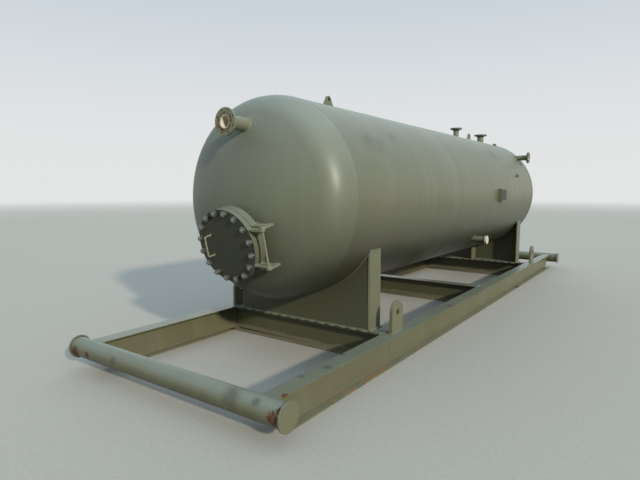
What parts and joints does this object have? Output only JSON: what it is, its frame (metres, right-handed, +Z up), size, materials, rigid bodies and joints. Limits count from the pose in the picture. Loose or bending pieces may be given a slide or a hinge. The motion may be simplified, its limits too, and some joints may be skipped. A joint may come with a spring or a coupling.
{
  "type": "horizontal pressure tank",
  "caption": "Horizontal pressure tank with dished heads, a hinged manway and flanged nozzles, on two saddles and a welded I-beam skid.",
  "frame": {"origin": "on the ground below the middle of the skid, half-way between its two pull pipes", "axes": "+X along the tank from the manway end to the plain end, +Y to the left side, +Z up"},
  "size_m": [8.7698, 2.382, 2.582],
  "materials": {
    "tank_paint": "semi-gloss olive-grey paint",
    "skid_paint": "semi-gloss olive-grey paint, worn and rusting at the edges",
    "cover_paint": "darker olive-grey paint",
    "stud_zinc": "bright zinc",
    "gasket_fibre": "matt dark fibre",
    "handle_steel": "pale paint over round bar",
    "hinge_steel": "pale olive-grey paint",
    "flange_steel": "olive-grey paint with a bare, rusty face",
    "plate_metal": "dark satin plate",
    "cap_paint": "cream paint"
  },
  "bodies": {
    "tank_and_skid": {"shell": "tank_paint", "front_head": "tank_paint", "rear_head": "tank_paint", "manway_neck": "tank_paint", "manway_flange": "tank_paint", "manway_gasket": "gasket_fibre", "hinge_pin": "hinge_steel", "hinge_lugs": "hinge_steel", "flange_studs": "stud_zinc", "flange_nuts": "stud_zinc", "front_nozzle_neck": "tank_paint", "front_nozzle_flange": "flange_steel", "top_nozzle_necks": "tank_paint", "top_nozzle_flanges": "cover_paint", "side_nozzle_neck": "tank_paint", "side_nozzle_flange": "cover_paint", "couplings": "tank_paint", "lifting_lugs": "tank_paint", "nameplate_bracket": "tank_paint", "nameplate": "plate_metal", "drain_pipe": "tank_paint", "drain_cap": "cap_paint", "front_saddle_web": "tank_paint", "front_saddle_ribs": "tank_paint", "front_saddle_base": "skid_paint", "rear_saddle_web": "tank_paint", "rear_saddle_ribs": "tank_paint", "rear_saddle_base": "skid_paint", "left_beam": "skid_paint", "right_beam": "skid_paint", "front_cross_beam": "skid_paint", "middle_cross_beam": "skid_paint", "rear_cross_beam": "skid_paint", "front_pull_pipe": "skid_paint", "rear_pull_pipe": "skid_paint", "pipe_end_discs": "skid_paint", "padeyes": "skid_paint"},
    "cover": {"manway_cover": "cover_paint", "cover_handle": "handle_steel", "cover_hinge_arms": "hinge_steel", "cover_studs": "stud_zinc", "cover_nuts": "stud_zinc"}
  },
  "joints": [
    {"name": "manway_cover_hinge", "type": "hinge", "parent": "tank_and_skid", "child": "cover", "pos_m": [-3.60954, -0.412, 1.10685], "axis": [-0.23, 0, 0.9732], "range_deg": [0, 110]}
  ]
}
